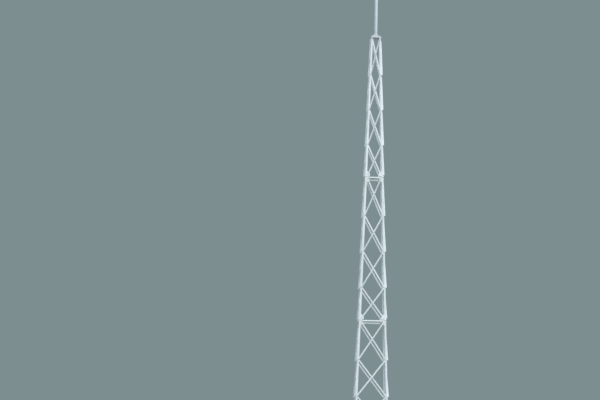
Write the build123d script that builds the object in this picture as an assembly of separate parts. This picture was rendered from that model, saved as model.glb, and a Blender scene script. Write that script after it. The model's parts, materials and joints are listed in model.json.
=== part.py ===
from build123d import *
import math
import os

# A free-standing lightning protection tower: a slender square lattice of galvanised steel angle,
# in three bolted sections, with a needle on its cap.
# Millimetres, Z up, X to the right, Y to the back. The origin is under the middle of the
# front left base plate.

# The tower as a whole
SECTIONS = ["lower", "middle", "upper"]
SECTION_HEIGHT = 5000
TOP_WIDTH = 330
WIDENING = 0.06

# Legs: equal angle with its heel at the corner of the tower
LEG_FLANGE = 60
LEG_THICKNESS = 5
LEG_ROOT_RADIUS = 6
LEG_GAUGE = 40

# Bracing: crossed angles, one outside the leg flanges and one inside
BAR_FLANGE = 45
BAR_THICKNESS = 4
BAR_END = 18
BAR_COPE = 30
PANELS = 4
FIRST_NODE = 1380
NODE_PITCH = 1250
PACKING_WIDTH = 32

# Section joints: small bolted flange plates, stiffened by gusset plates beside the legs
JOINT_PLATE = 110
JOINT_PLATE_THICKNESS = 14
JOINT_PLATE_CORNER = 12
PLATE_INSET = 40
GUSSET_REACH = 100
UPPER_GUSSET_HEIGHT = 180
UPPER_GUSSET_LIP = 80
UPPER_BOLT_RISE = 65
UPPER_BOLT_INSET = 90
LOWER_GUSSET_HEIGHT = 200
LOWER_GUSSET_LIP = 80
LOWER_BOLT_DROP = 108
LOWER_BOLT_INSET = 100

# Horizontals round each joint, and the crossed flats that keep the tower square there
RAIL_DROP = 4
RAIL_INSET = 110
FLAT_WIDTH = 40
FLAT_THICKNESS = 6
FLAT_LAP = 50

# Feet: base plates with outside ribs
FOOT_PLATE = 240
FOOT_THICKNESS = 20
RIB_HEIGHT = 160
RIB_TIP = 12
RIB_THICKNESS = 8
RIB_LEDGE = 8
ANCHOR_SPACING = 170
ANCHOR_HOLE_RADIUS = 13

# Head of the tower and the needle
CAP_OVERHANG = 10
CAP_THICKNESS = 12
CAP_CORNER = 25
TOP_RAIL_DROP = 4
TOP_BOLT_DROP = 85
NEEDLE_RADIUS = 54
NEEDLE_WALL = 4
NEEDLE_LENGTH = 1450
NEEDLE_FOOT_WIDTH = 300
NEEDLE_FOOT_THICKNESS = 12
NEEDLE_FOOT_CORNER = 60
SLEEVE_WALL = 6
SLEEVE_HEIGHT = 90
SLEEVE_CLEARANCE = 0.5
NEEDLE_RIB_HEIGHT = 80
NEEDLE_RIB_REACH = 165
NEEDLE_RIB_TIP = 10
ROD_RADIUS = 16
ROD_LENGTH = 520
ROD_POINT = 110
ROD_TIP_RADIUS = 2
REDUCER_HEIGHT = 110
REDUCER_LIP = 12
SPIGOT_DEPTH = 60
SOCKET_DEPTH = 50
FIT_CLEARANCE = 0.3

# Worked out from the sizes above
TOP = SECTION_HEIGHT * len(SECTIONS)
LEAN = WIDENING / 2
FOOT_OFFSET = TOP_WIDTH / 2 + LEAN * TOP - PLATE_INSET
SIDES = ["front", "right", "back", "left"]
CORNERS = ["front_left", "front_right", "back_right", "back_left"]
OUTWARD = Vector(0, -1, LEAN).normalized()
FACE_THICKNESS = LEG_THICKNESS * -OUTWARD.Y


def half_width(z):
    """Half the width of the tower over the heels of its legs, at height z."""
    return TOP_WIDTH / 2 + LEAN * (TOP - z)


def heel(z):
    """The heel of the front left leg at height z."""
    return Vector(-half_width(z), -half_width(z), z)


def on_face(x, z, depth=0):
    """A point on the front face, or depth outside it."""
    return Vector(x, -half_width(z), z) + OUTWARD * depth


def turned(shape, quarter):
    """A shape of the front side or front left corner, carried round the tower."""
    return shape.rotate(Axis.Z, 90 * quarter)


def across_corner(shape):
    """The mirror image of a shape about the diagonal plane through the front left leg."""
    return shape.mirror(Plane(origin=(0, 0, 0), z_dir=(1, -1, 0)))


def prism(points, sweep):
    """A solid with a flat outline, swept along one direction."""
    return Solid.extrude(Face(Wire.make_polygon(points)), Vector(sweep))


def box_between(low, high):
    size = Vector(high) - Vector(low)
    return Pos((Vector(low) + Vector(high)) / 2) * Box(size.X, size.Y, size.Z)


def leg(bottom, top):
    """An angle that leans along the corner of the tower, cut level at both ends."""
    start = heel(bottom)
    outline = [
        (0, 0),
        (LEG_FLANGE, 0),
        (LEG_FLANGE, LEG_THICKNESS),
        (LEG_THICKNESS, LEG_THICKNESS),
        (LEG_THICKNESS, LEG_FLANGE),
        (0, LEG_FLANGE),
    ]
    points = [start + Vector(x, y, 0) for x, y in outline]
    angle = prism(points, heel(top) - start)
    root = heel((bottom + top) / 2) + Vector(LEG_THICKNESS, LEG_THICKNESS, 0)
    return fillet(angle.edges().sort_by_distance(root)[0], LEG_ROOT_RADIUS)


def strip(start, end, upward, outward, low, high, near, far):
    """A flat bar from start to end, between low and high across it and between near and far outward."""
    outline = [(low, near), (high, near), (high, far), (low, far)]
    points = [start + upward * u + outward * v for u, v in outline]
    return prism(points, end - start)


def angle_bar(start, end, outward, overrun, cope):
    """An angle bolted flat at start and end. Its other flange stands outward along its lower edge,
    and is cut back by the cope at both ends."""
    along = (end - start).normalized()
    upward = outward.cross(along)
    if upward.Z < 0:
        upward = upward * -1
    first = start - along * overrun
    last = end + along * overrun
    edge = BAR_FLANGE / 2
    flat = strip(first, last, upward, outward, -edge, edge, 0, BAR_THICKNESS)
    standing = strip(
        first + along * cope, last - along * cope, upward, outward,
        -edge, -edge + BAR_THICKNESS, BAR_THICKNESS, BAR_FLANGE,
    )
    return flat.fuse(standing)


def crossing(a, b, c, d):
    """Where the lines a-b and c-d cross, each point given as x and z."""
    slope_one = (b[0] - a[0]) / (b[1] - a[1])
    slope_two = (d[0] - c[0]) / (d[1] - c[1])
    z = (c[0] - a[0] + slope_one * a[1] - slope_two * c[1]) / (slope_one - slope_two)
    return a[0] + slope_one * (z - a[1]), z


def packing(x, z):
    """The square packing plate that fills the gap between two bars where they cross."""
    half = PACKING_WIDTH / 2
    corners = [(x - half, z - half), (x + half, z - half), (x + half, z + half), (x - half, z + half)]
    points = [on_face(px, pz, -FACE_THICKNESS) for px, pz in corners]
    return prism(points, OUTWARD * FACE_THICKNESS)


def crossed_pair(top_z, top_inset, bottom_z, bottom_inset):
    """One panel of bracing: two bars joined by the packing plate where they cross."""
    top_x = half_width(top_z) - top_inset
    bottom_x = half_width(bottom_z) - bottom_inset
    outer = [(-bottom_x, bottom_z), (top_x, top_z)]
    inner = [(-top_x, top_z), (bottom_x, bottom_z)]
    outer_bar = angle_bar(on_face(*outer[0]), on_face(*outer[1]), OUTWARD, BAR_END, BAR_COPE)
    inside = [on_face(x, z, -FACE_THICKNESS) for x, z in inner]
    inner_bar = angle_bar(inside[0], inside[1], OUTWARD * -1, BAR_END, BAR_COPE)
    return outer_bar.fuse(packing(*crossing(*outer, *inner))).fuse(inner_bar)


def bracing(base, is_top):
    """The crossed bars of one side of one section, from its head down."""
    head = base + SECTION_HEIGHT
    pairs = []
    for panel in range(PANELS):
        node = head - FIRST_NODE - NODE_PITCH * panel
        top = (node + NODE_PITCH, LEG_GAUGE)
        bottom = (node, LEG_GAUGE)
        if panel == 0:
            top = (head - LOWER_BOLT_DROP, LOWER_BOLT_INSET)
            if is_top:
                top = (head - TOP_BOLT_DROP, LEG_GAUGE)
        if panel == PANELS - 1:
            bottom = (base + UPPER_BOLT_RISE, UPPER_BOLT_INSET)
        pairs.append(crossed_pair(*top, *bottom))
    return pairs


def gusset(z, height, lip):
    """A plate beside the front left leg, standing on height z, or hanging from it if height is less than 0."""
    toe = [-half_width(level) + LEG_FLANGE for level in (z, z + height)]
    tip = toe[0] + GUSSET_REACH
    outline = [(toe[0], z), (tip, z), (tip, z + lip), (toe[1], z + height)]
    points = [on_face(x, level) for x, level in outline]
    return prism(points, (0, LEG_THICKNESS, 0))


def rib():
    """The outside rib between the front face of the front left leg and its base plate."""
    z = FOOT_THICKNESS
    x = heel(z).X + PLATE_INSET
    near = -half_width(z)
    far = -half_width(z + RIB_HEIGHT)
    edge = -half_width(0) + PLATE_INSET - FOOT_PLATE / 2 + RIB_LEDGE
    outline = [
        (near, z),
        (edge, z),
        (edge, z + RIB_TIP),
        (far - RIB_TIP, z + RIB_HEIGHT),
        (far, z + RIB_HEIGHT),
    ]
    points = [Vector(x - RIB_THICKNESS / 2, y, level) for y, level in outline]
    return prism(points, (RIB_THICKNESS, 0, 0))


def end_plate(low, high, width, corner_z):
    """A square plate across an end of the front left leg."""
    middle = heel(corner_z) + Vector(PLATE_INSET, PLATE_INSET, 0)
    return box_between(
        (middle.X - width / 2, middle.Y - width / 2, low),
        (middle.X + width / 2, middle.Y + width / 2, high),
    )


def joint_plate(low, high, joint_z):
    """One flange plate of a section joint, with its corners cut off."""
    plate = end_plate(low, high, JOINT_PLATE, joint_z)
    return chamfer(plate.edges().filter_by(Axis.Z), JOINT_PLATE_CORNER)


def rail(z, inset, drop):
    """A level angle across the front, bolted outside, with its top edge drop below z."""
    level = z - drop - BAR_FLANGE / 2
    end = half_width(level) - inset
    start_point = on_face(-end, level)
    end_point = on_face(end, level)
    return angle_bar(start_point, end_point, OUTWARD, 0, 0)


def plan_flats(z):
    """Two flats under the joint plates, from corner to corner, joined where they cross."""
    under = z - JOINT_PLATE_THICKNESS
    corner = half_width(z) - PLATE_INSET - JOINT_PLATE / 2
    length = 2 * math.sqrt(2) * (corner + FLAT_LAP / math.sqrt(2))
    flat = Pos(0, 0, under - FLAT_THICKNESS / 2) * Box(length, FLAT_WIDTH, FLAT_THICKNESS)
    return flat.rotate(Axis.Z, 45).fuse(flat.rotate(Axis.Z, -45))


def foot():
    """One base plate with its anchor holes and outside ribs."""
    middle = heel(0) + Vector(PLATE_INSET, PLATE_INSET, 0)
    plate = end_plate(0, FOOT_THICKNESS, FOOT_PLATE, 0).fuse(rib()).fuse(across_corner(rib()))
    for x in (-ANCHOR_SPACING / 2, ANCHOR_SPACING / 2):
        for y in (-ANCHOR_SPACING / 2, ANCHOR_SPACING / 2):
            hole = Cylinder(ANCHOR_HOLE_RADIUS, 4 * FOOT_THICKNESS)
            plate = plate.cut(Pos(middle.X + x, middle.Y + y, 0) * hole)
    return plate


def cap_plate():
    """The plate that closes the top of the tower."""
    width = TOP_WIDTH + 2 * CAP_OVERHANG
    plate = Pos(0, 0, TOP + CAP_THICKNESS / 2) * Box(width, width, CAP_THICKNESS)
    return chamfer(plate.edges().filter_by(Axis.Z), CAP_CORNER)


def needle_foot():
    """The foot plate, sleeve and four ribs that carry the needle."""
    base = TOP + CAP_THICKNESS
    plate = Pos(0, 0, base + NEEDLE_FOOT_THICKNESS / 2) * Box(
        NEEDLE_FOOT_WIDTH, NEEDLE_FOOT_WIDTH, NEEDLE_FOOT_THICKNESS
    )
    plate = chamfer(plate.edges().filter_by(Axis.Z), NEEDLE_FOOT_CORNER)
    bore = NEEDLE_RADIUS + SLEEVE_CLEARANCE
    top = base + NEEDLE_FOOT_THICKNESS
    sleeve = Pos(0, 0, top + SLEEVE_HEIGHT / 2) * Cylinder(bore + SLEEVE_WALL, SLEEVE_HEIGHT)
    welded = plate.fuse(sleeve)
    near = bore + SLEEVE_WALL / 2
    outline = [
        (near, top),
        (NEEDLE_RIB_REACH, top),
        (NEEDLE_RIB_REACH, top + NEEDLE_RIB_TIP),
        (bore + SLEEVE_WALL + NEEDLE_RIB_TIP, top + NEEDLE_RIB_HEIGHT),
        (near, top + NEEDLE_RIB_HEIGHT),
    ]
    points = [Vector(x, -RIB_THICKNESS / 2, z) for x, z in outline]
    fin = prism(points, (0, RIB_THICKNESS, 0))
    for quarter in range(4):
        welded = welded.fuse(fin.rotate(Axis.Z, 45 + 90 * quarter))
    hole = Pos(0, 0, top + SLEEVE_HEIGHT) * Cylinder(bore, 2 * SLEEVE_HEIGHT)
    return welded.cut(hole)


def turned_piece(outline):
    """A round solid from radius and height points, turned about the needle's axis."""
    return revolve(Plane.XZ * Polygon(*outline, align=None), Axis.Z)


def needle_parts():
    """The tube, the reducer in its mouth, and the pointed rod."""
    bottom = TOP + CAP_THICKNESS + NEEDLE_FOOT_THICKNESS
    mouth = bottom + NEEDLE_LENGTH
    bore = NEEDLE_RADIUS - NEEDLE_WALL
    tube = turned_piece([(bore, bottom), (NEEDLE_RADIUS, bottom), (NEEDLE_RADIUS, mouth), (bore, mouth)])
    spigot = bore - FIT_CLEARANCE
    socket = ROD_RADIUS + FIT_CLEARANCE
    neck = socket + REDUCER_LIP / 2
    shoulder = mouth + REDUCER_HEIGHT
    floor = shoulder - SOCKET_DEPTH
    reducer = turned_piece([
        (0, mouth - SPIGOT_DEPTH),
        (spigot, mouth - SPIGOT_DEPTH),
        (spigot, mouth),
        (NEEDLE_RADIUS, mouth),
        (NEEDLE_RADIUS, mouth + REDUCER_LIP),
        (neck, shoulder),
        (socket, shoulder),
        (socket, floor),
        (0, floor),
    ])
    end = floor + ROD_LENGTH
    rod = turned_piece([
        (0, floor),
        (ROD_RADIUS, floor),
        (ROD_RADIUS, end - ROD_POINT),
        (ROD_TIP_RADIUS, end),
        (0, end),
    ])
    return {"needle_tube": tube, "needle_reducer": reducer, "needle_rod": rod}


def write(name, solids):
    """Moves a node from the axis of the tower to the part's own origin and writes it."""
    shapes = [s.moved(Location((FOOT_OFFSET, FOOT_OFFSET, 0))) for s in solids]
    found = [one for shape in shapes for one in shape.solids()]
    export_step(Compound(found), os.path.join("parts", name + ".step"))


def four(shape):
    return [turned(shape, quarter) for quarter in range(4)]


def leg_ends(index):
    """The heights at which the legs of a section start and stop, between their plates."""
    base = SECTION_HEIGHT * index
    bottom = base + (JOINT_PLATE_THICKNESS if index else FOOT_THICKNESS)
    if index == len(SECTIONS) - 1:
        return bottom, TOP
    return bottom, base + SECTION_HEIGHT - JOINT_PLATE_THICKNESS


def write_section(index, section):
    """The four legs of a section and the bracing of its four sides."""
    one_leg = leg(*leg_ends(index))
    pairs = bracing(SECTION_HEIGHT * index, index == len(SECTIONS) - 1)
    for quarter in range(4):
        write(f"{section}_leg_{CORNERS[quarter]}", [turned(one_leg, quarter)])
        write(f"{section}_bracing_{SIDES[quarter]}", [turned(pair, quarter) for pair in pairs])


def write_joint(index, joint):
    """The plates, gussets, rails and crossed flats where one section is bolted on the next."""
    z = SECTION_HEIGHT * (index + 1)
    under = leg_ends(index)[1]
    over = leg_ends(index + 1)[0]
    stand = gusset(over, UPPER_GUSSET_HEIGHT, UPPER_GUSSET_LIP)
    hang = gusset(under, -LOWER_GUSSET_HEIGHT, -LOWER_GUSSET_LIP)
    gussets = [stand, across_corner(stand), hang, across_corner(hang)]
    write(f"{joint}_bottom_flanges", four(joint_plate(under, z, z)))
    write(f"{joint}_top_flanges", four(joint_plate(z, over, z)))
    write(f"{joint}_gussets", [plate for one in gussets for plate in four(one)])
    write(f"{joint}_rails", four(rail(under, RAIL_INSET, RAIL_DROP)))
    write(f"{joint}_plan_bracing", [plan_flats(z)])


def write_base():
    """The four base plates and the gussets that stand on them."""
    one_foot = foot()
    stand = gusset(FOOT_THICKNESS, UPPER_GUSSET_HEIGHT, UPPER_GUSSET_LIP)
    for quarter in range(4):
        write(f"base_plate_{CORNERS[quarter]}", [turned(one_foot, quarter)])
    write("base_gussets", four(stand) + four(across_corner(stand)))


def write_head():
    """The rails, cap and needle at the top."""
    write("top_rails", four(rail(TOP, LEG_GAUGE - BAR_END, TOP_RAIL_DROP)))
    write("cap_plate", [cap_plate()])
    write("needle_foot", [needle_foot()])
    for name, shape in needle_parts().items():
        write(name, [shape])


def main():
    os.makedirs("parts", exist_ok=True)
    write_base()
    for index, section in enumerate(SECTIONS):
        write_section(index, section)
    for index, joint in enumerate(["lower_joint", "upper_joint"]):
        write_joint(index, joint)
    write_head()


main()
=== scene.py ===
# %% [markdown]
# # A lightning protection tower
# The tower is a tall, slender lattice of galvanised steel angle. It stands beside what it guards and
# holds a needle up high, so that lightning strikes the needle and runs down the steel to the ground.
# The big pieces come ready made from the frame file, at their real size. This lesson gives them a
# zinc finish and adds the small things that a fitter would add: bolts, nuts, washers and welds.

# %% Load the frame
import json
import math
import random

import bmesh
import bpy
from mathutils import Matrix, Vector


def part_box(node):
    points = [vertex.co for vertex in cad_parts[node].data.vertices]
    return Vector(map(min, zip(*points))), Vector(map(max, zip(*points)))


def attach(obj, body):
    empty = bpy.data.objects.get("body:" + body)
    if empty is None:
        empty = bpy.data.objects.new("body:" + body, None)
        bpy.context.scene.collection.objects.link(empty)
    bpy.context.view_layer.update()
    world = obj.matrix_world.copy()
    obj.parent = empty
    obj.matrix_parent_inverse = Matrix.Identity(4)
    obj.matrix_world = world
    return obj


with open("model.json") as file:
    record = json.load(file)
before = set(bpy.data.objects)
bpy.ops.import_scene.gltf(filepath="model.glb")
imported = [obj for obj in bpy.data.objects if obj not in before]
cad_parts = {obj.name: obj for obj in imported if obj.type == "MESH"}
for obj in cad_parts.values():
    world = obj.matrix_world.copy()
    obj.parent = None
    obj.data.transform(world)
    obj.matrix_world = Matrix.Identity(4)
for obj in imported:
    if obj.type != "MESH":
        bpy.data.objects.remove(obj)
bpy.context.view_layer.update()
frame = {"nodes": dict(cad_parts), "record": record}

slot_of = {part["node"]: part["material_slot"] for part in frame["record"]["subparts"]}
print("nodes:", len(frame["nodes"]), "slots:", sorted(set(slot_of.values())))

# %% [markdown]
# The four legs lean inwards, so nearly every bolt sits on a plane that is a little off upright.
# Its place could be typed in by hand, but then one change of size would leave the bolts in the air.
# Here the lines of the legs are measured on the frame, and every place is worked out from them.

# %% Measure the lines of the tower
MM = 0.001
SECTIONS = ["lower", "middle", "upper"]

cap_low, cap_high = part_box("cap_plate")
leg_low, leg_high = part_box("lower_leg_front_left")
top_leg_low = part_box("upper_leg_front_left")[0]
AXIS = (cap_low + cap_high) / 2
TOP = cap_low.z
LEAN = (top_leg_low.x - leg_low.x) / (top_leg_low.z - leg_low.z)
LEG_FLANGE = leg_high.x - leg_low.x - LEAN * (leg_high.z - leg_low.z)
JOINTS = {name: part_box(name + "_top_flanges")[0].z for name in ("lower_joint", "upper_joint")}
PLATE_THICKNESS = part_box("lower_joint_top_flanges")[1].z - JOINTS["lower_joint"]
FOOT_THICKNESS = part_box("base_gussets")[0].z
print(f"legs {LEG_FLANGE / MM:.1f} mm wide, leaning {LEAN / MM:.1f} mm in each metre")

# %% [markdown]
# The tower is the same on all four sides. So a place is worked out once, on the front face or at the
# front left leg, as if the tower's axis stood at x = y = 0. One matrix then moves it to the real
# axis and turns it there, which saves three quarters of the work and keeps the sides alike.

# %% Points on the tower
UPRIGHT = Vector((0, 0, 1))
OUTWARD = Vector((0, -1, LEAN)).normalized()
TO_AXIS = Matrix.Translation((AXIS.x, AXIS.y, 0))


def half_width(z):
    """Half the width of the tower over the heels of its legs, at height z."""
    return AXIS.x - leg_low.x - LEAN * (z - leg_low.z)


def on_face(x, z):
    """A point on the front face, x from its middle."""
    return Vector((x, -half_width(z), z))


def from_heel(x, y, z):
    """A point at height z, given by its distances from the heel of the front left leg there."""
    corner = -half_width(z)
    return Vector((corner + x, corner + y, z))


def quarter_turn(quarter):
    """Carries a shape, drawn about the tower's axis, round to one of its sides."""
    return TO_AXIS @ Matrix.Rotation(math.pi / 2 * quarter, 4, "Z")


print(f"top {TOP:.3f} m, half width there {half_width(TOP):.4f}, at the ground {half_width(0):.4f} m")

# %% [markdown]
# Zinc from the dipping bath sets in flat crystals, the spangle, each a slightly different grey.
# Weather then turns it matt and chalky, rain draws thin streaks down it, and dust splashes up from
# the ground. Each of these is one effect that every piece shares, so each is a node group that is
# built once. An image could show the same, but a pattern of this kind has no seams and any scale.

# %% Helpers for nodes


def new_group(name, inputs, outputs):
    """An empty shader node group. Inputs are (name, value), and outputs are names of masks."""
    group = bpy.data.node_groups.new(name, "ShaderNodeTree")
    for label, value in inputs:
        socket = group.interface.new_socket(label, in_out="INPUT", socket_type="NodeSocketFloat")
        socket.default_value = value
    for label in outputs:
        group.interface.new_socket(label, in_out="OUTPUT", socket_type="NodeSocketFloat")
    return group, group.nodes.new("NodeGroupInput"), group.nodes.new("NodeGroupOutput")


def add(tree, kind, **settings):
    """A node with its settings. A setting named after an input socket fills that socket."""
    node = tree.nodes.new(kind)
    for name, value in settings.items():
        if name.title() in node.inputs:
            node.inputs[name.title()].default_value = value
        else:
            setattr(node, name, value)
    return node


def join(tree, *pairs):
    """Links each pair of sockets."""
    for source, target in pairs:
        tree.links.new(source, target)


def feed(tree, value, socket):
    """Fills a socket from another socket or with a plain value."""
    if isinstance(value, bpy.types.NodeSocket):
        tree.links.new(value, socket)
    else:
        socket.default_value = value


def math_node(tree, operation, first, second, clamp=False):
    """A Math node fed by sockets or plain numbers, and its result."""
    node = add(tree, "ShaderNodeMath", operation=operation, use_clamp=clamp)
    feed(tree, first, node.inputs[0])
    feed(tree, second, node.inputs[1])
    return node.outputs[0]


def remap(tree, value, low, high, to_low=0.0, to_high=1.0):
    """A Map Range node that takes low to high onto to_low to to_high, with no overshoot."""
    node = tree.nodes.new("ShaderNodeMapRange")
    for socket, given in zip(node.inputs, (value, low, high, to_low, to_high)):
        feed(tree, given, socket)
    return node.outputs[0]


print("helpers ready")

# %% [markdown]
# The spangle is a cell pattern: each cell is one crystal, with a tone of its own. Its edges are
# very slightly raised, so they also give a height. The cells are read from the piece's own
# coordinates, so the crystals stay put on the steel from whatever side it is seen.

# %% Spangle
WANDERS_PER_METRE = 35.0
EDGE_WANDER = 12 * MM
RAISED_EDGE = 0.12  # of a cell's width


def spangle_group():
    """A tone for each crystal, and the height of its edges."""
    group, given, result = new_group("Zinc spangle", [("Crystals per metre", 70.0)], ["Tone", "Height"])
    place = add(group, "ShaderNodeTexCoord")
    wander = add(group, "ShaderNodeTexNoise", scale=WANDERS_PER_METRE, detail=2.0)
    bend = add(group, "ShaderNodeVectorMath", operation="MULTIPLY_ADD")
    bend.inputs[1].default_value = (EDGE_WANDER, EDGE_WANDER, EDGE_WANDER)
    cells = add(group, "ShaderNodeTexVoronoi", feature="F1")
    edges = add(group, "ShaderNodeTexVoronoi", feature="DISTANCE_TO_EDGE")
    tone = add(group, "ShaderNodeSeparateColor")
    raised = remap(group, edges.outputs["Distance"], 0.0, RAISED_EDGE, 1.0, 0.0)
    join(
        group,
        (place.outputs["Object"], wander.inputs["Vector"]),
        (wander.outputs["Color"], bend.inputs[0]),
        (place.outputs["Object"], bend.inputs[2]),
        (bend.outputs[0], cells.inputs["Vector"]),
        (bend.outputs[0], edges.inputs["Vector"]),
        (given.outputs[0], cells.inputs["Scale"]),
        (given.outputs[0], edges.inputs["Scale"]),
        (cells.outputs["Color"], tone.inputs[0]),
        (tone.outputs[0], result.inputs["Tone"]),
        (raised, result.inputs["Height"]),
    )
    return group


SPANGLE = spangle_group()
print("group", SPANGLE.name)

# %% [markdown]
# Weather works at three scales: broad patches where the zinc has gone chalky, small blotches all
# over it, and thin streaks where rain runs down. A streak is a noise pattern stretched along the
# height, so it is very fine across the steel and long down it.

# %% Weathering
BLOTCHES_PER_METRE = 22.0
STREAK_SQUEEZE = 0.012  # of the height, before the noise is read
# Each mask rises from 0 to 1 between two values of its noise
CHALK_RANGE = (0.38, 0.64)
STREAK_RANGE = (0.50, 0.68)
BLOTCH_RANGE = (0.35, 0.68)


def weather_group():
    """Masks of chalky patches, rain streaks and small blotches."""
    group, given, result = new_group(
        "Zinc weathering",
        [("Patch size", 0.7), ("Streaks per metre", 160.0)],
        ["Chalk", "Streak", "Blotch"],
    )
    place = add(group, "ShaderNodeTexCoord")
    patch_scale = math_node(group, "DIVIDE", 1.0, given.outputs["Patch size"])
    patch = add(group, "ShaderNodeTexNoise", detail=3.0, roughness=0.55)
    blotch = add(group, "ShaderNodeTexNoise", scale=BLOTCHES_PER_METRE, detail=4.0, roughness=0.65)
    squeeze = add(group, "ShaderNodeMapping", scale=(1.0, 1.0, STREAK_SQUEEZE))
    streak = add(group, "ShaderNodeTexNoise", detail=2.0, roughness=0.6)
    join(
        group,
        (place.outputs["Object"], patch.inputs["Vector"]),
        (patch_scale, patch.inputs["Scale"]),
        (place.outputs["Object"], blotch.inputs["Vector"]),
        (place.outputs["Object"], squeeze.inputs["Vector"]),
        (squeeze.outputs[0], streak.inputs["Vector"]),
        (given.outputs["Streaks per metre"], streak.inputs["Scale"]),
        (remap(group, patch.outputs["Fac"], *CHALK_RANGE), result.inputs["Chalk"]),
        (remap(group, streak.outputs["Fac"], *STREAK_RANGE), result.inputs["Streak"]),
        (remap(group, blotch.outputs["Fac"], *BLOTCH_RANGE), result.inputs["Blotch"]),
    )
    return group


WEATHER = weather_group()
print("group", WEATHER.name)

# %% [markdown]
# Dust and splashed soil cling to the lowest half metre. Just under the cap and under each section joint
# the zinc is darkened, partly as drip stains where water drips off the plates and partly as painted
# shade under the plates. Both depend only on the height above the ground, broken up by noise so that no
# edge is straight.

# %% Dust, drips and painted shade
SPLASH_HEIGHT = 0.55
# Drip stains with painted shade reach this far below the cap and each joint plate, and a little above
DRIP_AND_SHADE_LENGTH = 0.45
DRIP_AND_SHADE_RISE = 0.02
DRIP_AND_SHADE_LEVELS = [*JOINTS.values(), TOP]
SPECKLES_PER_METRE = 30.0
BROKEN_RANGE = (0.35, 0.65)


def height_mask(group, height, level, above, below):
    """A mask that is 1 at a level and fades out above and below it, distances in metres."""
    rise = remap(group, height, level - below, level)
    fall = remap(group, height, level, level + above, 1.0, 0.0)
    return math_node(group, "MULTIPLY", rise, fall)


def grime_and_shade_group():
    """Masks of the dust near the ground, and of the drip marks with painted shade under the joints and
    the cap.
    """
    group, given, result = new_group("Dust, drips and shade", [("Amount", 1.0)], ["Dust", "Drip and shade"])
    place = add(group, "ShaderNodeTexCoord")
    parts = add(group, "ShaderNodeSeparateXYZ")
    speckle = add(group, "ShaderNodeTexNoise", scale=SPECKLES_PER_METRE, detail=5.0, roughness=0.7)
    join(
        group,
        (place.outputs["Object"], parts.inputs[0]),
        (place.outputs["Object"], speckle.inputs["Vector"]),
    )
    height = parts.outputs["Z"]
    broken = remap(group, speckle.outputs["Fac"], *BROKEN_RANGE)
    near_ground = remap(group, height, 0.0, SPLASH_HEIGHT, 1.0, 0.0)
    # Drip stains and painted shade under the cap and each joint plate
    drips_and_shade_under_plates = height_mask(group, height, DRIP_AND_SHADE_LEVELS[0], DRIP_AND_SHADE_RISE, DRIP_AND_SHADE_LENGTH)
    for level in DRIP_AND_SHADE_LEVELS[1:]:
        mask = height_mask(group, height, level, DRIP_AND_SHADE_RISE, DRIP_AND_SHADE_LENGTH)
        drips_and_shade_under_plates = math_node(group, "MAXIMUM", drips_and_shade_under_plates, mask)
    for label, mask in (("Dust", near_ground), ("Drip and shade", drips_and_shade_under_plates)):
        mask = math_node(group, "MULTIPLY", mask, broken)
        mask = math_node(group, "MULTIPLY", mask, given.outputs["Amount"])
        join(group, (mask, result.inputs[label]))
    return group


GRIME_AND_SHADE = grime_and_shade_group()
print("group", GRIME_AND_SHADE.name, "for levels", [round(level, 2) for level in DRIP_AND_SHADE_LEVELS])

# %% [markdown]
# Its colour mixes a bright and a chalky grey by the chalk mask,
# shifts the tone a little from crystal to crystal, darkens the streaks, then the drip marks together
# with painted shade under the cap and the joint plates, and lays dust on last, because that is the
# order in which the stains came onto the real steel.

# %% Colour of zinc
STREAK_COLOUR = (0.36, 0.39, 0.39, 1)
# Drip stains with painted shade under the cap and the joint plates
DRIP_AND_SHADE_COLOUR = (0.40, 0.40, 0.37, 1)
DUST_COLOUR = (0.42, 0.37, 0.29, 1)
# How strongly the drip stains and painted shade darken the zinc
DRIP_AND_SHADE_AMOUNT = 0.28
DUST_AMOUNT = 0.55
# A Mix node has sockets for every kind of data, and these are the ones for colours
MIX_SOCKETS = (0, 6, 7)
MIX_RESULT = 2


def mix_colour(tree, factor, first, second, blend="MIX"):
    """A colour Mix node with sockets or plain colours, and its result."""
    node = add(tree, "ShaderNodeMix", data_type="RGBA", blend_type=blend)
    for number, value in zip(MIX_SOCKETS, (factor, first, second)):
        feed(tree, value, node.inputs[number])
    return node.outputs[MIX_RESULT]


def zinc_colour(tree, cells, weather, grime_and_shade, bright, chalky, spangle, streaks):
    """The grey of the zinc, crystal by crystal, with the marks of rain and dust on it, and painted
    shade under the cap and the joint plates.
    """
    base = mix_colour(tree, weather.outputs["Chalk"], (*bright, 1), (*chalky, 1))
    tone = remap(tree, cells.outputs["Tone"], 0.0, 1.0, 1.0 - spangle, 1.0 + spangle)
    grey = add(tree, "ShaderNodeCombineColor")
    for socket in grey.inputs:
        tree.links.new(tone, socket)
    base = mix_colour(tree, 1.0, base, grey.outputs[0], "MULTIPLY")
    marks = [
        (weather.outputs["Streak"], streaks, STREAK_COLOUR),
        # Drip stains and painted shade under the cap and the joint plates
        (grime_and_shade.outputs["Drip and shade"], DRIP_AND_SHADE_AMOUNT, DRIP_AND_SHADE_COLOUR),
        (grime_and_shade.outputs["Dust"], DUST_AMOUNT, DUST_COLOUR),
    ]
    for mask, amount, colour in marks:
        base = mix_colour(tree, math_node(tree, "MULTIPLY", mask, amount), base, colour)
    return base


print("streaks", STREAK_COLOUR[:3], "drips", DRIP_AND_SHADE_COLOUR[:3], "dust", DUST_COLOUR[:3])

# %% [markdown]
# Chalky and dusty zinc is rougher than bright zinc, so the same masks drive the roughness. Blotches
# and crystal edges go into one Bump node. They are far too low to be worth any geometry, but they
# break up the shine of a flat plate.

# %% Roughness and bumps of zinc
CHALK_ROUGHNESS = 0.2
CRYSTAL_ROUGHNESS = 0.07
DUST_ROUGHNESS = 0.25
BLOTCH_SHARE = 0.7
CRYSTAL_SHARE = 0.3
BUMP_HEIGHT = 0.6 * MM


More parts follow.
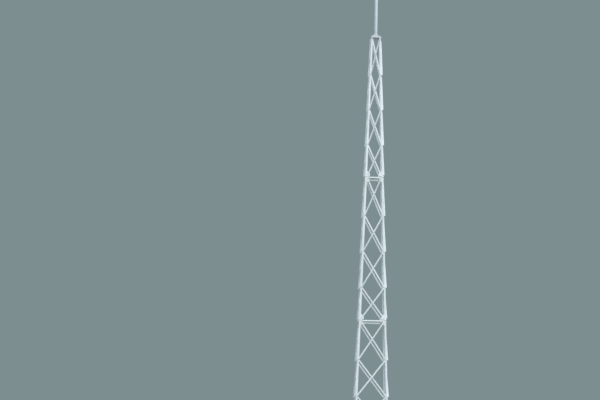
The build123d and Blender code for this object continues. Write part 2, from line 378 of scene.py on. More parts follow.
def zinc_roughness(tree, cells, weather, grime_and_shade, smooth):
    """From smooth on bright zinc up to rough on chalk and dust."""
    rough = remap(tree, weather.outputs["Chalk"], 0.0, 1.0, smooth, smooth + CHALK_ROUGHNESS)
    crystal = remap(tree, cells.outputs["Tone"], 0.0, 1.0, -CRYSTAL_ROUGHNESS, CRYSTAL_ROUGHNESS)
    dusty = math_node(tree, "MULTIPLY", grime_and_shade.outputs["Dust"], DUST_ROUGHNESS)
    rough = math_node(tree, "ADD", rough, crystal)
    return math_node(tree, "ADD", rough, dusty, clamp=True)


def zinc_bumps(tree, cells, weather, bumpy):
    """A normal that carries the blotches and the edges of the crystals."""
    blotches = math_node(tree, "MULTIPLY", weather.outputs["Blotch"], BLOTCH_SHARE)
    edges = math_node(tree, "MULTIPLY", cells.outputs["Height"], CRYSTAL_SHARE)
    bump = add(tree, "ShaderNodeBump", strength=bumpy, distance=BUMP_HEIGHT)
    join(tree, (math_node(tree, "ADD", blotches, edges), bump.inputs["Height"]))
    return bump.outputs[0]


print("bumps up to", BUMP_HEIGHT / MM, "mm")

# %% [markdown]
# The groups and the recipe meet in one function that makes a material. The Principled BSDF stays in
# the material itself, where an exporter can find it. The metallic value is low, because old zinc is
# covered by a dull grey film and hardly mirrors its surroundings.

# %% One zinc material


def zinc_material(name, bright, chalky, crystals, spangle, streaks=0.16, metallic=0.1, smooth=0.52,
                  bumpy=0.25):
    """Weathered hot-dip zinc. bright and chalky are the two greys that it varies between."""
    material = bpy.data.materials.new(name)
    material.use_nodes = True
    tree = material.node_tree
    cells = add(tree, "ShaderNodeGroup", node_tree=SPANGLE)
    cells.inputs[0].default_value = crystals
    weather = add(tree, "ShaderNodeGroup", node_tree=WEATHER)
    # Dust near the ground, and drip stains with painted shade under the plates
    grime_and_shade = add(tree, "ShaderNodeGroup", node_tree=GRIME_AND_SHADE)
    colour = zinc_colour(tree, cells, weather, grime_and_shade, bright, chalky, spangle, streaks)
    shader = tree.nodes["Principled BSDF"]
    shader.inputs["Metallic"].default_value = metallic
    join(
        tree,
        (colour, shader.inputs["Base Color"]),
        (zinc_roughness(tree, cells, weather, grime_and_shade, smooth), shader.inputs["Roughness"]),
        (zinc_bumps(tree, cells, weather, bumpy), shader.inputs["Normal"]),
    )
    return material


print("each material uses", ", ".join(group.name for group in (SPANGLE, WEATHER, GRIME_AND_SHADE)))

# %% [markdown]
# Each slot gets its own numbers, because a thick leg cools slowly and gets big crystals, while
# a thin bar comes out finer and duller. The cap and the needle's foot lie open to all the rain, so
# they have weathered most and get a greyer zinc. The rails of the joints are as bright as plates.

# %% Zinc of each slot
ZINC = {
    "leg_steel": zinc_material(
        "leg zinc", (0.79, 0.86, 0.90), (0.71, 0.77, 0.79), crystals=80.0, spangle=0.07
    ),
    "bracing_steel": zinc_material(
        "bracing zinc", (0.78, 0.84, 0.87), (0.69, 0.75, 0.77), crystals=120.0, spangle=0.06
    ),
    "plate_steel": zinc_material(
        "plate zinc", (0.83, 0.89, 0.91), (0.77, 0.82, 0.84), crystals=75.0, spangle=0.07
    ),
    "foot_steel": zinc_material(
        "foot zinc", (0.66, 0.71, 0.72), (0.55, 0.59, 0.58), crystals=75.0, spangle=0.08
    ),
    "needle_steel": zinc_material(
        "needle zinc", (0.57, 0.66, 0.72), (0.50, 0.58, 0.62), crystals=110.0, spangle=0.05
    ),
}
CAP_ZINC = zinc_material(
    "cap zinc", (0.63, 0.70, 0.74), (0.56, 0.62, 0.65), crystals=75.0, spangle=0.07
)
UNLIKE_SLOT = {
    "cap_plate": CAP_ZINC,
    "needle_foot": CAP_ZINC,
    "lower_joint_rails": ZINC["plate_steel"],
    "upper_joint_rails": ZINC["plate_steel"],
}
for name, node in frame["nodes"].items():
    node.data.materials.clear()
    node.data.materials.append(UNLIKE_SLOT.get(name, ZINC[slot_of[name]]))
print("materials:", ", ".join(material.name for material in [*ZINC.values(), CAP_ZINC]))

# %% [markdown]
# A washer is a circle that is pulled up once. A hex head is a six-sided circle that is pulled up
# twice, and narrowed the second time like the real chamfer. The face is pulled up together with its
# edges: only then does Blender delete the old face, which would otherwise be left inside.

# %% Discs and hexagons
HEX_SIDES = 6
FLATS_TO_CORNERS = 1 / math.cos(math.pi / HEX_SIDES)


def pull(mesh, face):
    """Extrudes a face, and gives the new face and its corners, which haven't moved yet."""
    grown = bmesh.ops.extrude_face_region(mesh, geom=[face, *face.edges])["geom"]
    corners = [item for item in grown if isinstance(item, bmesh.types.BMVert)]
    return next(item for item in grown if isinstance(item, bmesh.types.BMFace)), corners


def raised_disc(mesh, sides, radius, low, high, chamfer=0.0, rim_drop=0.0):
    """A closed prism from low to high. Its top is narrower by chamfer all round, and the slope
    starts rim_drop below it."""
    bottom = bmesh.ops.create_circle(mesh, cap_ends=True, segments=sides, radius=radius)["verts"]
    bmesh.ops.translate(mesh, verts=bottom, vec=(0, 0, low))
    face = bottom[0].link_faces[0]
    levels = [(high, 1.0)]
    if chamfer:
        levels = [(high - rim_drop, 1.0), (high, (radius - chamfer) / radius)]
    z = low
    for level, share in levels:
        face, corners = pull(mesh, face)
        bmesh.ops.translate(mesh, verts=corners, vec=(0, 0, level - z))
        bmesh.ops.scale(mesh, verts=corners, vec=(share, share, 1))
        z = level


def hexagon(mesh, flats, low, high, chamfer, rim_drop):
    """A hex head or nut, flats wide across its flat sides."""
    raised_disc(mesh, HEX_SIDES, flats / 2 * FLATS_TO_CORNERS, low, high, chamfer, rim_drop)


def as_mesh(drawn, name):
    """A mesh from a finished bmesh, with every face turned outwards."""
    bmesh.ops.recalc_face_normals(drawn, faces=drawn.faces)
    made = bpy.data.meshes.new(name)
    drawn.to_mesh(made)
    drawn.free()
    return made


print(f"a hexagon is {FLATS_TO_CORNERS:.3f} times as wide over its corners as over its flats")

# %% [markdown]
# Bolts come in hundreds, so one bolt is drawn once with few faces and copied into joined meshes.
# The washer and nut are drawn upwards like the head, then mirrored to hang down, and the head comes
# last. A mirrored shape is inside out, so the normals are recalculated at the end. Threads are too
# fine to see, so the end of the shank is a plain stub with its rim cut back.

# %% One bolt
# The sizes of a bolt, as shares of its diameter
ACROSS_FLATS = 1.5
HEAD_HEIGHT = 0.65
NUT_HEIGHT = 0.85
WASHER_RADIUS = 1.05
WASHER_HEIGHT = 0.2
STUB_HEIGHT = 1.15
CHAMFER = 0.12
HEX_RIM = 0.09
STUB_RIM = 0.1
WASHER_SIDES = 12
STUB_SIDES = 8


def bolt_mesh(diameter, head, nut):
    """A bolt along Z: its head stands on height head, and its washer and nut hang from height nut."""
    flats = ACROSS_FLATS * diameter
    chamfer = CHAMFER * diameter
    hex_rim = HEX_RIM * diameter
    washer = -nut + WASHER_HEIGHT * diameter
    stub = washer + STUB_HEIGHT * diameter
    drawn = bmesh.new()
    raised_disc(drawn, WASHER_SIDES, WASHER_RADIUS * diameter, -nut, washer)
    hexagon(drawn, flats, washer, washer + NUT_HEIGHT * diameter, chamfer, hex_rim)
    raised_disc(drawn, STUB_SIDES, diameter / 2, washer, stub, chamfer, STUB_RIM * diameter)
    bmesh.ops.scale(drawn, verts=drawn.verts, vec=(1, 1, -1))
    hexagon(drawn, flats, head, head + HEAD_HEIGHT * diameter, chamfer, hex_rim)
    return as_mesh(drawn, "bolt")


sample = bolt_mesh(diameter=12 * MM, head=4 * MM, nut=-9 * MM)
heights = [vertex.co.z / MM for vertex in sample.vertices]
print(f"a bolt has {len(sample.polygons)} faces, from {min(heights):.1f} to {max(heights):.1f} mm")

# %% [markdown]
# Every group of bolts is a list of places. A place is a matrix that stands the bolt on its face,
# with the head outwards. The copies are joined into one mesh per group, whose object stays at the
# origin. Each copy is also turned about its own axis by a seeded random angle, because no fitter
# leaves all the heads the same way up.

# %% Joining copies
SIXTH_TURN = math.pi / 3
TURN_SEED = 7
turns = random.Random(TURN_SEED)


def facing(place, outward):
    """A matrix that puts a shape drawn along Z at a place, pointing outward."""
    upright = Vector(outward).to_track_quat("Z", "Y").to_matrix().to_4x4()
    turn = Matrix.Rotation(turns.uniform(0, SIXTH_TURN), 4, "Z")
    return Matrix.Translation(place) @ upright @ turn


def round_tower(copies):
    """The same (mesh, matrix) copies on all four sides."""
    return [(mesh, quarter_turn(quarter) @ matrix) for quarter in range(4) for mesh, matrix in copies]


def finish_piece(name, drawn, material):
    """Turns a finished bmesh into a piece of the object that rides with the tower."""
    data = as_mesh(drawn, name)
    data.materials.append(material)
    piece = bpy.data.objects.new(name, data)
    bpy.context.scene.collection.objects.link(piece)
    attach(piece, "root")
    print(name, "has", len(data.polygons), "faces")


def joined_copies(name, copies, material):
    """One piece from many (mesh, matrix) copies."""
    whole = bmesh.new()
    for mesh, matrix in copies:
        first = len(whole.verts)
        whole.from_mesh(mesh)
        whole.verts.ensure_lookup_table()
        bmesh.ops.transform(whole, matrix=matrix, verts=whole.verts[first:])
    finish_piece(name, whole, material)


FASTENER = zinc_material(
    "fastener zinc", (0.62, 0.67, 0.70), (0.52, 0.56, 0.57), crystals=260.0, spangle=0.06,
    metallic=0.2, smooth=0.46,
)
print("fasteners get", FASTENER.name)

# %% [markdown]
# Each side of a section has four crossed pairs of bars. One bar of a pair lies outside the legs and
# the other inside, and a single bolt at each node clamps both to the leg between them. At the joints
# the bars end on gusset plates instead, nearer to the middle of the side.

# %% Ends of the bars
LEG_GAUGE = 40 * MM
PANELS = 4
FIRST_NODE = 1380 * MM
NODE_PITCH = 1250 * MM
SECTION_HEIGHT = JOINTS["upper_joint"] - JOINTS["lower_joint"]
TOP_BOLT_DROP = 85 * MM
# Height from the joint and inset from the heel, for the bolts of the gusset plates
ABOVE_JOINT = (65 * MM, 90 * MM)
BELOW_JOINT = (108 * MM, 100 * MM)


def crossing(a, b, c, d):
    """Where the lines a-b and c-d cross, each point given as x and z."""
    slope_one = (b[0] - a[0]) / (b[1] - a[1])
    slope_two = (d[0] - c[0]) / (d[1] - c[1])
    z = (c[0] - a[0] + slope_one * a[1] - slope_two * c[1]) / (slope_one - slope_two)
    return a[0] + slope_one * (z - a[1]), z


def panel_ends(base, panel, is_top):
    """The height and inset from the heel of the top and bottom bolts of one crossed pair."""
    head = base + SECTION_HEIGHT
    node = head - FIRST_NODE - NODE_PITCH * panel
    top = (node + NODE_PITCH, LEG_GAUGE)
    bottom = (node, LEG_GAUGE)
    if panel == 0:
        top = (head - TOP_BOLT_DROP, LEG_GAUGE) if is_top else (head - BELOW_JOINT[0], BELOW_JOINT[1])
    if panel == PANELS - 1:
        bottom = (base + ABOVE_JOINT[0], ABOVE_JOINT[1])
    return top, bottom


print("first pair from", [[round(value, 3) for value in end] for end in panel_ends(0, 0, False)])

# %% [markdown]
# A bolt that holds two bars is longer than one that holds a single bar, and a single bar lies either
# outside the leg or inside it, so there are three kinds. Where two bars cross, a bolt goes through
# both and the packing plate between them. At the top and the bottom of a section, each bolt holds
# one bar.

# %% Bolts of the bracing
BAR_THICKNESS = 4 * MM
LEG_THICKNESS = 5 * MM
INSIDE = -LEG_THICKNESS - BAR_THICKNESS
THIN_BOLT = 12 * MM

BOTH_BARS = bolt_mesh(THIN_BOLT, BAR_THICKNESS, INSIDE)
OUTER_BAR = bolt_mesh(THIN_BOLT, BAR_THICKNESS, -LEG_THICKNESS)
INNER_BAR = bolt_mesh(THIN_BOLT, 0.0, INSIDE)


def face_bolt(mesh, x, z):
    """One bolt through the front face, x from its middle, as (mesh, matrix about the axis)."""
    return mesh, facing(on_face(x, z), OUTWARD)


def bracing_bolts(base, is_top):
    """The bolts of the front side of one section."""
    found = []
    for panel in range(PANELS):
        (top_z, top_inset), (bottom_z, bottom_inset) = panel_ends(base, panel, is_top)
        top_x = half_width(top_z) - top_inset
        bottom_x = half_width(bottom_z) - bottom_inset
        inner = (-top_x, top_z), (bottom_x, bottom_z)
        outer = (-bottom_x, bottom_z), (top_x, top_z)
        found.append(face_bolt(BOTH_BARS, *crossing(*inner, *outer)))
        if panel == 0:
            found.append(face_bolt(INNER_BAR, -top_x, top_z))
            found.append(face_bolt(OUTER_BAR, top_x, top_z))
        is_last = panel == PANELS - 1
        found.append(face_bolt(OUTER_BAR if is_last else BOTH_BARS, -bottom_x, bottom_z))
        found.append(face_bolt(INNER_BAR if is_last else BOTH_BARS, bottom_x, bottom_z))
    return found


for index, section in enumerate(SECTIONS):
    one_side = bracing_bolts(SECTION_HEIGHT * index, index == len(SECTIONS) - 1)
    joined_copies(f"{section}_bracing_bolts", round_tower(one_side), FASTENER)

# %% [markdown]
# Where a rail ends on a gusset plate, or under the cap on a leg, one bolt holds it. The rails lie
# outside, so their bolts are alike. Only the front rail is worked out: its two ends are mirror
# images, and quarter turns give the other sides.

# %% Bolts of the rails
BAR_WIDTH = 45 * MM
RAIL_DROP = 4 * MM
RAIL_BOLT_INSET = 135 * MM


def rail_bolts(under, inset):
    """Two bolts of the front rail that hangs below height under."""
    level = under - RAIL_DROP - BAR_WIDTH / 2
    x = half_width(level) - inset
    return [face_bolt(OUTER_BAR, side * x, level) for side in (-1, 1)]


for joint, z in JOINTS.items():
    one_side = rail_bolts(z - PLATE_THICKNESS, RAIL_BOLT_INSET)
    joined_copies(f"{joint}_rail_bolts", round_tower(one_side), FASTENER)
joined_copies("top_rail_bolts", round_tower(rail_bolts(TOP, LEG_GAUGE)), FASTENER)

# %% [markdown]
# A section stands on the next one through small flange plates. Three bolts beside the leg pull each
# pair of plates together, and a fourth, at their inner corner, also holds the end of a crossed flat.
# These bolts carry the pull of the whole mast in a storm, so they are thicker than the others.

# %% Bolts of the section joints
THICK_BOLT = 16 * MM
FLAT_THICKNESS = 6 * MM
# Distances from the heel of the leg
NEAR_LEG = 28 * MM
FAR_SIDE = 70 * MM
INNER_CORNER = 75 * MM

FLANGE_BOLT = bolt_mesh(THICK_BOLT, PLATE_THICKNESS, -PLATE_THICKNESS)
FLAT_BOLT = bolt_mesh(THICK_BOLT, PLATE_THICKNESS, -PLATE_THICKNESS - FLAT_THICKNESS)


def joint_bolts(z):
    """The upright bolts of the front left corner of a section joint."""
    beside = [(NEAR_LEG, NEAR_LEG), (FAR_SIDE, NEAR_LEG), (NEAR_LEG, FAR_SIDE)]
    found = [(FLANGE_BOLT, facing(from_heel(x, y, z), UPRIGHT)) for x, y in beside]
    found.append((FLAT_BOLT, facing(from_heel(INNER_CORNER, INNER_CORNER, z), UPRIGHT)))
    return found


for joint, z in JOINTS.items():
    joined_copies(f"{joint}_flange_bolts", round_tower(joint_bolts(z)), FASTENER)

# %% [markdown]
# The needle's foot is bolted down through the cap, with two bolts between each pair of its ribs.
# Two more go right through the sleeve and the tube, one above the other and at right angles.

# %% Bolts of the needle
CAP_THICKNESS = cap_high.z - cap_low.z
FOOT_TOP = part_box("needle_tube")[0].z
FOOT_BOLT_REACH = 120 * MM
FOOT_BOLT_SIDE = 50 * MM
SLEEVE_RADIUS = 60.5 * MM
# The height of each sleeve bolt above the foot's plate, and the way that its head points
SLEEVE_BOLTS = [(30 * MM, (0, -1, 0)), (64 * MM, (-1, 0, 0))]

foot_bolt = bolt_mesh(THICK_BOLT, FOOT_TOP - cap_high.z, -CAP_THICKNESS)
one_side = [
    (foot_bolt, facing((FOOT_BOLT_REACH, y, cap_high.z), UPRIGHT))
    for y in (FOOT_BOLT_SIDE, -FOOT_BOLT_SIDE)
]
joined_copies("needle_foot_bolts", round_tower(one_side), FASTENER)

sleeve_bolt = bolt_mesh(THIN_BOLT, SLEEVE_RADIUS, -SLEEVE_RADIUS)
through = [
    (sleeve_bolt, TO_AXIS @ facing((0, 0, FOOT_TOP + height), direction))
    for height, direction in SLEEVE_BOLTS
]
joined_copies("needle_sleeve_bolts", through, FASTENER)

# %% [markdown]
# Two small screws hold the pointed rod in its socket at the top of the tube. They are screwed right
# in, so only their hex heads show, and a head is all that is drawn.

# %% Screws of the rod
SCREW = 8 * MM
SCREW_FLATS = 1.6 * SCREW
SCREW_HEAD = 8 * MM
SCREW_RADIUS = 25.5 * MM
SCREW_DROP = 14 * MM
SCREW_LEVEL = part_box("needle_reducer")[1].z - SCREW_DROP

drawn = bmesh.new()
hexagon(drawn, SCREW_FLATS, 0.0, SCREW_HEAD, CHAMFER * SCREW, HEX_RIM * SCREW)
screw = as_mesh(drawn, "screw")
screws = []
for direction in (Vector((0, -1, 0)), Vector((1, 0, 0))):
    spot = direction * SCREW_RADIUS + UPRIGHT * SCREW_LEVEL
    screws.append((screw, TO_AXIS @ facing(spot, direction)))
joined_copies("needle_rod_screws", screws, FASTENER)

# %% [markdown]
# Four long anchor bolts come up out of the concrete through each base plate. Each has a wide washer,
# a nut, a second thinner nut that locks the first, and some spare thread above. The washer has to
# be wide, because the holes are larger than the bolts to let the plate be nudged into line.

# %% Anchor bolts
ANCHOR = 24 * MM
ANCHOR_FLATS = 36 * MM
ANCHOR_SIDES = 12
ANCHOR_SPACING = 170 * MM
PLATE_INSET = 40 * MM
WIDE_WASHER_RADIUS = 25 * MM
WIDE_WASHER_SIDES = 16
NUT_CHAMFER = 3 * MM
NUT_RIM = 2 * MM
# Heights above the base plate
WASHER_TOP = 4 * MM
NUT_TOP = 24 * MM
LOCK_NUT_LOW = 24.5 * MM
LOCK_NUT_TOP = 37 * MM
# Heights above the underside of the base plate
ANCHOR_START = 1 * MM
ANCHOR_END = 78 * MM


def anchor_mesh():
    """One anchor bolt as it shows above the ground, from the underside of the base plate up."""
    drawn = bmesh.new()
    z = FOOT_THICKNESS
    raised_disc(drawn, WIDE_WASHER_SIDES, WIDE_WASHER_RADIUS, z, z + WASHER_TOP)
    for low, high in ((WASHER_TOP, NUT_TOP), (LOCK_NUT_LOW, LOCK_NUT_TOP)):
        hexagon(drawn, ANCHOR_FLATS, z + low, z + high, NUT_CHAMFER, NUT_RIM)
    raised_disc(drawn, ANCHOR_SIDES, ANCHOR / 2, ANCHOR_START, ANCHOR_END, NUT_CHAMFER, NUT_CHAMFER)
    return as_mesh(drawn, "anchor")


anchor = anchor_mesh()
anchors = []
for x in (-ANCHOR_SPACING / 2, ANCHOR_SPACING / 2):
    for y in (-ANCHOR_SPACING / 2, ANCHOR_SPACING / 2):
        spot = from_heel(PLATE_INSET + x, PLATE_INSET + y, 0.0)
        anchors.append((anchor, facing(spot, UPRIGHT)))
joined_copies("anchor_bolts", round_tower(anchors), FASTENER)

# %% [markdown]
# The plates and ribs are welded on before the steel is dipped, so the welds are coated too and only
# their shape shows: a rounded, rippled fillet in each corner. A bead starts as one small quarter
# round face, which is drawn along the seam in short steps, each a little fatter or thinner than the
# last. A smooth tube would be simpler, but it would look like a pipe laid in the corner.

# %% One weld bead
WELD = 6 * MM
RIPPLE = 14 * MM
FEWEST_RIPPLES = 2
BULGE = 0.74
THIN_RIPPLE = 0.82
FAT_RIPPLE = 1.12
RIPPLE_SEED = 11
ripples = random.Random(RIPPLE_SEED)


def weld_bead(mesh, start, end, first, second, size=WELD):
    """A fillet along a corner. first and second point away from the corner, along its two faces."""
    steps = max(FEWEST_RIPPLES, round((end - start).length / RIPPLE))
    step = (end - start) / steps
    bulge = (first + second) * (BULGE * size)
    outline = [start, start + first * size, start + bulge, start + second * size]
    face = mesh.faces.new([mesh.verts.new(point) for point in outline])
    fatness = 1.0
    for index in range(steps):
        face, corners = pull(mesh, face)
        before = fatness
        fatness = ripples.uniform(THIN_RIPPLE, FAT_RIPPLE)
        share = fatness / before
        about_seam = Matrix.Translation(-(start + step * index))
        bmesh.ops.scale(mesh, verts=corners, vec=(share, share, share), space=about_seam)
        bmesh.ops.translate(mesh, verts=corners, vec=step)


def welded_piece(name, beads):
    """One piece of the beads of the front left corner and their three quarter turns."""
    one_corner = as_mesh(beads, "beads")
    joined_copies(name, round_tower([(one_corner, Matrix.Identity(4))]), WELD_ZINC)


WELD_ZINC = zinc_material(
    "weld zinc", (0.66, 0.71, 0.73), (0.57, 0.61, 0.62), crystals=240.0, spangle=0.10,
    streaks=0.10, bumpy=0.7,
)
print("bead", WELD / MM, "mm, ripples every", RIPPLE / MM, "mm")

# %% [markdown]
# At a joint each plate has beads along both outer faces of the leg, out past the gusset plates, and
# along the inside of the angle. The gusset plates are welded edge to edge with the leg, which gives a
# low seam that leans with it. The same function serves all of them, with the corner's two
# directions given each time.

# %% Welds of the joints
RIGHT = Vector((1, 0, 0))
BACK = Vector((0, 1, 0))
PLATE_REACH = 93 * MM
ROOT_GAP = 1 * MM
GUSSET_HEIGHT = {1: 180 * MM, -1: 200 * MM}
SEAM_WIDTH = 3.5 * MM
SEAM_RISE = 0.45


def swapped(point):
    """The mirror image of a point or direction about the diagonal through the front left corner."""
    return Vector((point.y, point.x, point.z))


def both_ways(mesh, start, end, first, second, size=WELD):
    """A bead on the front of the corner, and its mirror image on the left side."""
    weld_bead(mesh, start, end, first, second, size)
    weld_bead(mesh, swapped(start), swapped(end), swapped(first), swapped(second), size)


def plate_beads(mesh, z, way, reach):
    """The beads between the leg with its gussets and a plate, whose face is at height z.
    way is 1 where the leg stands on the plate and -1 where it hangs from it."""
    up = UPRIGHT * way
    both_ways(mesh, from_heel(0, 0, z), from_heel(reach, 0, z), -BACK, up)
    inner = from_heel(LEG_THICKNESS + ROOT_GAP, LEG_THICKNESS, z)
    both_ways(mesh, inner, from_heel(reach, LEG_THICKNESS, z), BACK, up)


def gusset_seams(mesh, z, way):
    """The low seam between the edge of the leg and the gusset plate beside it."""
    low = from_heel(LEG_FLANGE, 0, z)
    high = from_heel(LEG_FLANGE, 0, z + way * GUSSET_HEIGHT[way])
    low.z += way * WELD
    for across in (RIGHT, -RIGHT):
        both_ways(mesh, low, high, across, OUTWARD * SEAM_RISE, SEAM_WIDTH)


for joint, z in JOINTS.items():
    beads = bmesh.new()
    for way in (-1, 1):
        face_z = z + way * PLATE_THICKNESS
        plate_beads(beads, face_z, way, PLATE_REACH)
        gusset_seams(beads, face_z, way)
    welded_piece(f"{joint}_welds", beads)

# %% [markdown]
# The feet have the same beads, longer ones, and two more for each side of an outside rib: along the
# base plate and up the leg. The beads stop short of the corner where they would run into each other.

# %% Welds of the feet
RIB_THICKNESS = 8 * MM
RIB_HEIGHT = 160 * MM
BASE_REACH = 158 * MM
RIB_EDGE = 70 * MM

beads = bmesh.new()
plate_beads(beads, FOOT_THICKNESS, 1, BASE_REACH)
gusset_seams(beads, FOOT_THICKNESS, 1)
for side in (-1, 1):
    away = RIGHT * side
    x = PLATE_INSET + side * RIB_THICKNESS / 2
    start = from_heel(x, -WELD, FOOT_THICKNESS)
    end = from_heel(x, -RIB_EDGE, FOOT_THICKNESS)
    both_ways(beads, start, end, away, UPRIGHT)
    low = from_heel(x, 0, FOOT_THICKNESS + WELD)
    high = from_heel(x, 0, FOOT_THICKNESS + RIB_HEIGHT - WELD)
    low.x = start.x
    high.x = start.x
    both_ways(beads, low, high, away, OUTWARD)
welded_piece("base_welds", beads)

# %% [markdown]
# The cap is welded on from outside, and the ribs of the needle's foot stand in fillets, one on each
# side of a rib along the plate and up the sleeve. Only the rib of the front left corner is worked
# out, and quarter turns give the others.

# %% Welds of the cap and of the needle's ribs
CAP_WELD = 5 * MM
FIN_START = 2 * MM
FIN_REACH = 160 * MM
FIN_HEIGHT = 80 * MM
SLEEVE_BITE = 0.5 * MM
DIAGONAL = Vector((-1, -1, 0)).normalized()
SIDEWAYS = Vector((1, -1, 0)).normalized()

beads = bmesh.new()
both_ways(beads, from_heel(0, 0, TOP), from_heel(LEG_FLANGE, 0, TOP), -BACK, -UPRIGHT, CAP_WELD)
for side in (-1, 1):
    away = SIDEWAYS * side
    root = SIDEWAYS * (side * RIB_THICKNESS / 2)
    inner = DIAGONAL * (SLEEVE_RADIUS + FIN_START) + root + UPRIGHT * FOOT_TOP
    outer = DIAGONAL * FIN_REACH + root + UPRIGHT * FOOT_TOP
    weld_bead(beads, inner, outer, away, UPRIGHT)
    low = DIAGONAL * (SLEEVE_RADIUS - SLEEVE_BITE) + root + UPRIGHT * (FOOT_TOP + WELD)
    weld_bead(beads, low, low + UPRIGHT * (FIN_HEIGHT - 2 * WELD), away, DIAGONAL)
welded_piece("head_welds", beads)

# %% [markdown]
# The ring of weld round the sleeve is a small triangle, spun once round the needle's axis. A full
# spin needs use_merge, or its last copy of the triangle would lie unjoined on the first. The spin
# goes in flat steps, which sink a little into the round sleeve between their corners. RING_GAP
# holds the top edge out by just enough to stay clear of it.

# %% Weld of the sleeve
RING_STEPS = 32
RING_GAP = 0.3 * MM

ring = bmesh.new()
profile = [(SLEEVE_RADIUS, 0.0), (SLEEVE_RADIUS + WELD, 0.0), (SLEEVE_RADIUS + RING_GAP, WELD)]
corners = [ring.verts.new((AXIS.x + x, AXIS.y, FOOT_TOP + z)) for x, z in profile]
sides = [ring.edges.new((corners[index - 1], corners[index])) for index in range(len(corners))]
bmesh.ops.spin(ring, geom=corners + sides, cent=(AXIS.x, AXIS.y, FOOT_TOP), axis=UPRIGHT,
               angle=2 * math.pi, steps=RING_STEPS, use_merge=True)
finish_piece("sleeve_weld", ring, WELD_ZINC)

# %% [markdown]
# The studio is a wide, plain floor of pale grey under an even sky. The tower is itself nearly white,
# so the floor and the background have to be a step darker for its thin bars to read. Near the tower
# the floor is lit and takes its shadow, and further out it fades to the tone of the background, so
# that no horizon cuts the picture.

# %% Floor
FLOOR_RADIUS = 32.0
FLOOR_SIDES = 96
FLOOR_ROUGHNESS = 0.9
FADE_START = 12.0
FADE_END = 30.0
BACKGROUND = (0.205, 0.27, 0.28)
FLOOR_COLOUR = (0.235, 0.27, 0.275)


def floor_material():
    """Matt paint near the tower that fades to the plain tone of the background."""
    paint = bpy.data.materials.new("studio floor")
    paint.use_nodes = True
    tree = paint.node_tree
    matt = tree.nodes["Principled BSDF"]
    matt.inputs["Base Color"].default_value = (*FLOOR_COLOUR, 1)
    matt.inputs["Roughness"].default_value = FLOOR_ROUGHNESS
    glow = add(tree, "ShaderNodeEmission", color=(*BACKGROUND, 1))
    place = add(tree, "ShaderNodeTexCoord")
    centred = add(tree, "ShaderNodeMapping", location=(-AXIS.x, -AXIS.y, 0))
    distance = add(tree, "ShaderNodeVectorMath", operation="LENGTH")
    blend = add(tree, "ShaderNodeMixShader")
    join(
        tree,
        (place.outputs["Object"], centred.inputs["Vector"]),
        (centred.outputs[0], distance.inputs[0]),
        (remap(tree, distance.outputs["Value"], FADE_START, FADE_END), blend.inputs[0]),
        (matt.outputs[0], blend.inputs[1]),
        (glow.outputs[0], blend.inputs[2]),
        (blend.outputs[0], tree.nodes["Material Output"].inputs["Surface"]),
    )
    return paint


drawn = bmesh.new()
bmesh.ops.create_circle(drawn, cap_ends=True, segments=FLOOR_SIDES, radius=FLOOR_RADIUS)
bmesh.ops.translate(drawn, verts=drawn.verts, vec=(AXIS.x, AXIS.y, 0))
floor = bpy.data.objects.new("studio_floor", as_mesh(drawn, "studio_floor"))
floor.data.materials.append(floor_material())
bpy.context.scene.collection.objects.link(floor)
print("floor radius", FLOOR_RADIUS, "m, fading from", FADE_START, "m")

# %% [markdown]
# The sky does two jobs. It fills in the light from all round, nearly white, and it stands behind the
# tower as a plain backdrop. Light Path tells the two apart: rays from the camera, and those that
# a shiny or clear surface sends on, see the backdrop, and all others see the light.

# %% Sky
SKY_COLOUR = (0.92, 0.96, 1.0)
SKY_STRENGTH = 0.9

world = bpy.data.worlds.new("studio sky")
bpy.context.scene.world = world
world.use_nodes = True
tree = world.node_tree
fill = tree.nodes["Background"]
fill.inputs["Color"].default_value = (*SKY_COLOUR, 1)
fill.inputs["Strength"].default_value = SKY_STRENGTH
seen = add(tree, "ShaderNodeBackground", color=(*BACKGROUND, 1))
ray = add(tree, "ShaderNodeLightPath")
shown = math_node(tree, "MAXIMUM", ray.outputs["Is Camera Ray"], ray.outputs["Is Transmission Ray"])
shown = math_node(tree, "MAXIMUM", shown, ray.outputs["Is Glossy Ray"])
choose = add(tree, "ShaderNodeMixShader")
join(
    tree,
    (shown, choose.inputs[0]),
    (fill.outputs[0], choose.inputs[1]),
    (seen.outputs[0], choose.inputs[2]),
    (choose.outputs[0], tree.nodes["World Output"].inputs["Surface"]),
)
print("sky strength", SKY_STRENGTH)

# %% [markdown]
# A soft sun from the upper right gives the light its direction. A sun lamp lights every part of
# a tall object alike, where a lamp a few metres off would leave the feet dark, and its wide angle
# gives shadows with soft edges.

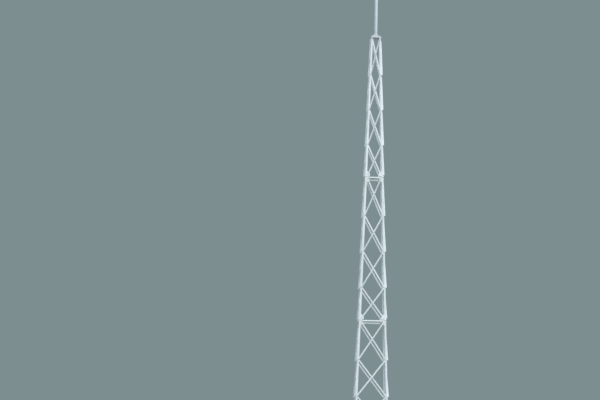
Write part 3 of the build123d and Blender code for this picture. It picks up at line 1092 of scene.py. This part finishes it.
# %% Sun
SUN_STRENGTH = 1.6
SUN_COLOUR = (1.0, 0.99, 0.96)
SUN_SOFTNESS = math.radians(25)
SUN_FROM_TOP = math.radians(56)
SUN_TO_RIGHT = math.radians(40)

lamp = bpy.data.lights.new("soft sun", "SUN")
lamp.energy = SUN_STRENGTH
lamp.angle = SUN_SOFTNESS
lamp.color = SUN_COLOUR
sun = bpy.data.objects.new("soft sun", lamp)
sun.rotation_euler = (SUN_FROM_TOP, 0, SUN_TO_RIGHT)
bpy.context.scene.collection.objects.link(sun)
print("sun strength", SUN_STRENGTH, "from the upper right")

# %% [markdown]
# The picture is taken from some seventy-five metres away with a long lens. The eye is two metres
# below the tower's feet and looks up past the edge of the studio floor. The camera is described as
# a photographer would: how far off, how far below the top, turned how far to the side, tilted up
# and rolled by how much.

# %% Camera
CAMERA_DISTANCE = 75.74
EYE_BELOW_TOP = 17.05
SIDE_STEP = math.radians(3.7)
AIM_RIGHT = math.radians(-1.933)
TILT_UP = math.radians(8.428)
ROLL = math.radians(1.096)
FOCAL_PIXELS = 2200.0
PICTURE_WIDTH = 600
SENSOR_WIDTH = 36.0
FAR_LIMIT = 2000.0

lens = bpy.data.cameras.new("camera")
lens.sensor_width = SENSOR_WIDTH
lens.lens = FOCAL_PIXELS / PICTURE_WIDTH * SENSOR_WIDTH
lens.clip_end = FAR_LIMIT
camera = bpy.data.objects.new("camera", lens)
bpy.context.scene.collection.objects.link(camera)
eye = Vector((
    AXIS.x - CAMERA_DISTANCE * math.sin(SIDE_STEP),
    AXIS.y - CAMERA_DISTANCE * math.cos(SIDE_STEP),
    TOP - EYE_BELOW_TOP,
))
camera.matrix_world = (
    Matrix.Translation(eye)
    @ Matrix.Rotation(-(SIDE_STEP + AIM_RIGHT), 4, "Z")
    @ Matrix.Rotation(math.pi / 2 + TILT_UP, 4, "X")
    @ Matrix.Rotation(ROLL, 4, "Z")
)
bpy.context.scene.camera = camera
bpy.context.scene.view_settings.view_transform = "Standard"
print(f"camera at {eye.x:.2f}, {eye.y:.2f}, {eye.z:.2f} m with a {lens.lens:.0f} mm lens")
